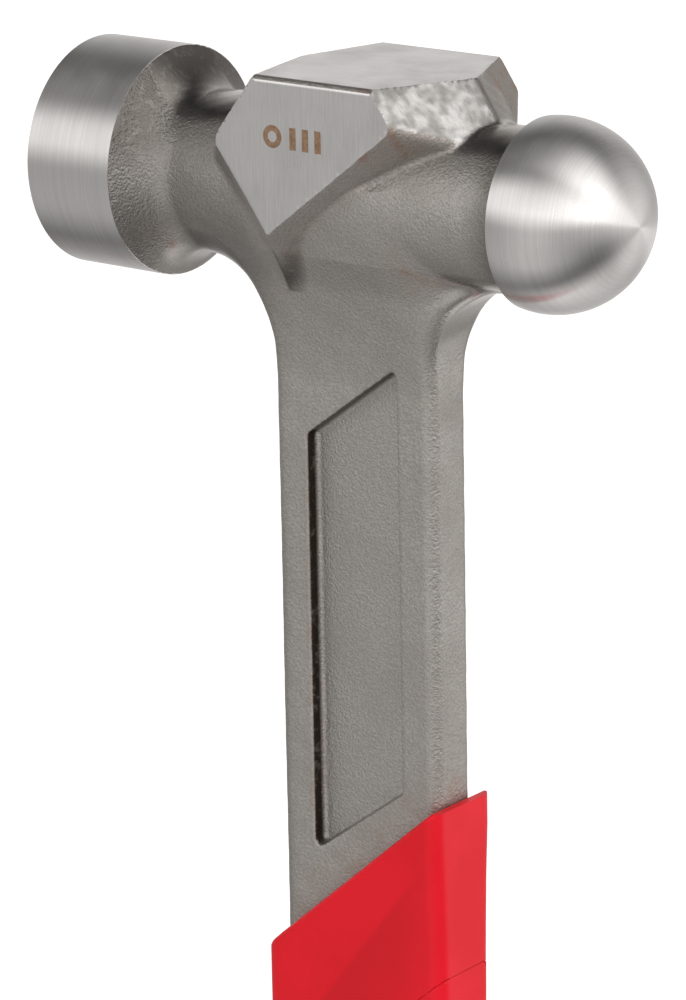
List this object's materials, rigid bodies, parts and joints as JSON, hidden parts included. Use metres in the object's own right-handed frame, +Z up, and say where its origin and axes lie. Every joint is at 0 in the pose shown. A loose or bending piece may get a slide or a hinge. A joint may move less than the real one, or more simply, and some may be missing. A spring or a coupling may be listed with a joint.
{
  "type": "ball peen hammer",
  "caption": "Ball peen hammer: a one-piece steel forging with a flat striking face, a ball peen and ground cheeks, and a moulded red grip over its tang.",
  "frame": {"origin": "centre of the flat striking face", "axes": "-X out of the striking face, +X along the head to the ball peen, +Z up through the top of the head with the handle along -Z, +Y across the head"},
  "size_m": [0.0913, 0.032, 0.3347],
  "materials": {
    "forged_steel": "sandblasted forging with ground cheeks and top and turned striking end and ball",
    "elastomer": "moulded elastomer, hidden",
    "grip_core_plastic": "glass-filled nylon, hidden",
    "collar_plastic": "satin moulded plastic",
    "grip_rubber": "soft satin overmould",
    "cap_plastic": "satin moulded plastic"
  },
  "bodies": {
    "root": {"forged_hammer": "forged_steel", "damping_jacket": "elastomer", "grip_core": "grip_core_plastic", "grip_collar": "collar_plastic", "grip_sleeve": "grip_rubber", "butt_cap": "cap_plastic"}
  },
  "joints": []
}
